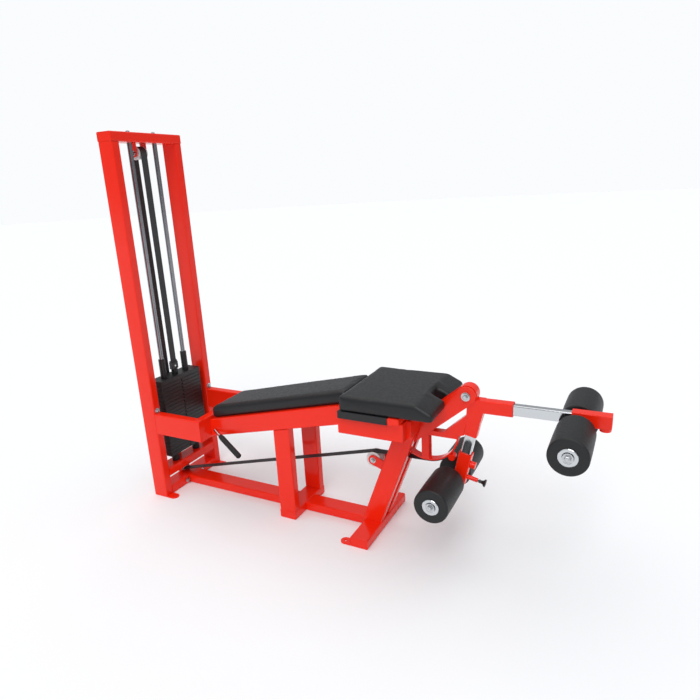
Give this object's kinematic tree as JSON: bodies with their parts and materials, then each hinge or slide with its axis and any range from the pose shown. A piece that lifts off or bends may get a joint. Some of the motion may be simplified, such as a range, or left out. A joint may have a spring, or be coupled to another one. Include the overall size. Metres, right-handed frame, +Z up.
{
  "type": "leg extension and leg curl machine",
  "caption": "Leg extension and prone leg curl machine: padded bench with a hinged roller lever that lifts a guided weight stack through a flat belt and a cam.",
  "frame": {"origin": "on the floor, under the middle of the weight tower's base beam", "axes": "+X along the bench from the weight tower to the roller lever, +Y across the machine, +Z up"},
  "size_m": [2.0022, 0.504, 1.66],
  "materials": {
    "red_paint": "glossy powder coat, orange-red",
    "chrome": "polished chrome plate",
    "black_iron": "black enamel, satin",
    "black_rubber": "matt moulded rubber",
    "black_vinyl": "black upholstery vinyl, fine grain, satin",
    "board_cover": "black vinyl stretched over a plywood board",
    "roller_foam": "dense black foam with a moulded skin",
    "pulley_nylon": "grey-white nylon",
    "belt_webbing": "flat black belt, ribbed fabric over rubber",
    "knob_black": "matt black plastic knob on a steel pin"
  },
  "bodies": {
    "frame": {"base_rail_front": "red_paint", "base_rail_rear": "red_paint", "belt_run": "belt_webbing", "bench_leg_far": "red_paint", "bench_leg_near": "red_paint", "bench_pad": "black_vinyl", "bench_rail_far": "red_paint", "bench_rail_near": "red_paint", "bottom_pulley_bracket": "red_paint", "cage_cross_beam": "red_paint", "cage_side_beam_far": "red_paint", "cage_side_beam_near": "red_paint", "fork_plate_far": "red_paint", "fork_plate_near": "red_paint", "front_foot": "red_paint", "front_post_far": "red_paint", "front_post_near": "red_paint", "guide_rod_far": "chrome", "guide_rod_near": "chrome", "hand_grip_far": "black_rubber", "hand_grip_near": "black_rubber", "idler_bracket": "red_paint", "mid_foot": "red_paint", "pivot_shaft": "chrome", "seat_bearer": "red_paint", "seat_board": "board_cover", "seat_cross_tube": "red_paint", "seat_pad": "black_vinyl", "seat_rail_far": "red_paint", "seat_rail_near": "red_paint", "stack_buffer_far": "black_rubber", "stack_buffer_near": "black_rubber", "stack_support_beam": "red_paint", "tower_base_beam": "red_paint", "tower_top_beam": "red_paint", "tower_upright_far": "red_paint", "tower_upright_near": "red_paint", "weight_plates_1": "black_iron", "weight_plates_2": "black_iron", "weight_plates_3": "black_iron", "weight_plates_4": "black_iron", "weight_plates_5": "black_iron"},
    "lever": {"lever_frame": "red_paint", "upper_inner_tube": "chrome", "lower_inner_tube": "chrome", "belt_cam_wrap": "belt_webbing"},
    "upper_bracket": {"upper_roller_bracket": "red_paint"},
    "lower_bracket": {"lower_roller_bracket": "red_paint"},
    "pop_pin": {"lower_pop_pin": "knob_black"},
    "upper_roller_near": {"upper_roller_near": "roller_foam"},
    "upper_roller_far": {"upper_roller_far": "roller_foam"},
    "lower_roller_near": {"lower_roller_near": "roller_foam"},
    "lower_roller_far": {"lower_roller_far": "roller_foam"},
    "stack_head": {"stack_head_plate": "black_iron", "selector_stem": "black_iron", "belt_front_strand": "belt_webbing"},
    "top_pulley": {"top_pulley": "pulley_nylon"},
    "bottom_pulley": {"bottom_pulley": "pulley_nylon"},
    "idler_pulley": {"idler_pulley": "pulley_nylon"},
    "belt_lead": {"belt_lead": "belt_webbing"}
  },
  "joints": [
    {"name": "lever_swing", "type": "hinge", "parent": "frame", "child": "lever", "pos_m": [1.457, 0, 0.637], "axis": [0, -1, 0], "range_deg": [0, 85]},
    {"name": "stack_lift", "type": "slide", "parent": "frame", "child": "stack_head", "axis": [0, 0, 1], "range_m": [0, 0.5], "deforming": ["belt_front_strand"]},
    {"name": "top_pulley_turn", "type": "hinge", "parent": "frame", "child": "top_pulley", "pos_m": [-0.0252, 0, 1.58], "axis": [0, -1, 0], "range_deg": [0, 1060]},
    {"name": "bottom_pulley_turn", "type": "hinge", "parent": "frame", "child": "bottom_pulley", "pos_m": [-0.031, 0, 0.0696], "axis": [0, -1, 0], "range_deg": [0, 1350]},
    {"name": "idler_pulley_turn", "type": "hinge", "parent": "frame", "child": "idler_pulley", "pos_m": [1.066, 0, 0.306], "axis": [0, -1, 0], "range_deg": [-930, 0]},
    {"name": "belt_lead_travel", "type": "slide", "parent": "frame", "child": "belt_lead", "axis": [1, 0, 0], "range_m": [0, 0.32], "deforming": ["belt_lead"]},
    {"name": "upper_bracket_slide", "type": "slide", "parent": "lever", "child": "upper_bracket", "axis": [1, 0, 0], "range_m": [-0.15, 0]},
    {"name": "lower_bracket_slide", "type": "slide", "parent": "lever", "child": "lower_bracket", "axis": [0.2164, 0, 0.9763], "range_m": [0, 0.05]},
    {"name": "pop_pin_pull", "type": "slide", "parent": "lower_bracket", "child": "pop_pin", "axis": [0.9763, 0, -0.2164], "range_m": [0, 0.01], "stiffness_N_per_m": 900, "springref_m": -0.006},
    {"name": "upper_roller_near_spin", "type": "hinge", "parent": "upper_bracket", "child": "upper_roller_near", "pos_m": [1.84, 0, 0.561], "axis": [0, -1, 0], "continuous": true},
    {"name": "upper_roller_far_spin", "type": "hinge", "parent": "upper_bracket", "child": "upper_roller_far", "pos_m": [1.84, 0, 0.561], "axis": [0, -1, 0], "continuous": true},
    {"name": "lower_roller_near_spin", "type": "hinge", "parent": "lower_bracket", "child": "lower_roller_near", "pos_m": [1.39133, 0, 0.28397], "axis": [0, -1, 0], "continuous": true},
    {"name": "lower_roller_far_spin", "type": "hinge", "parent": "lower_bracket", "child": "lower_roller_far", "pos_m": [1.39133, 0, 0.28397], "axis": [0, -1, 0], "continuous": true}
  ],
  "couplings": [
    {"joint": "stack_lift", "follows": "lever_swing", "m_per_rad": 0.334},
    {"joint": "top_pulley_turn", "follows": "lever_swing", "ratio": 12.146},
    {"joint": "bottom_pulley_turn", "follows": "lever_swing", "ratio": 15.535},
    {"joint": "idler_pulley_turn", "follows": "lever_swing", "ratio": -10.603},
    {"joint": "belt_lead_travel", "follows": "lever_swing", "m_per_rad": 0.2097}
  ]
}
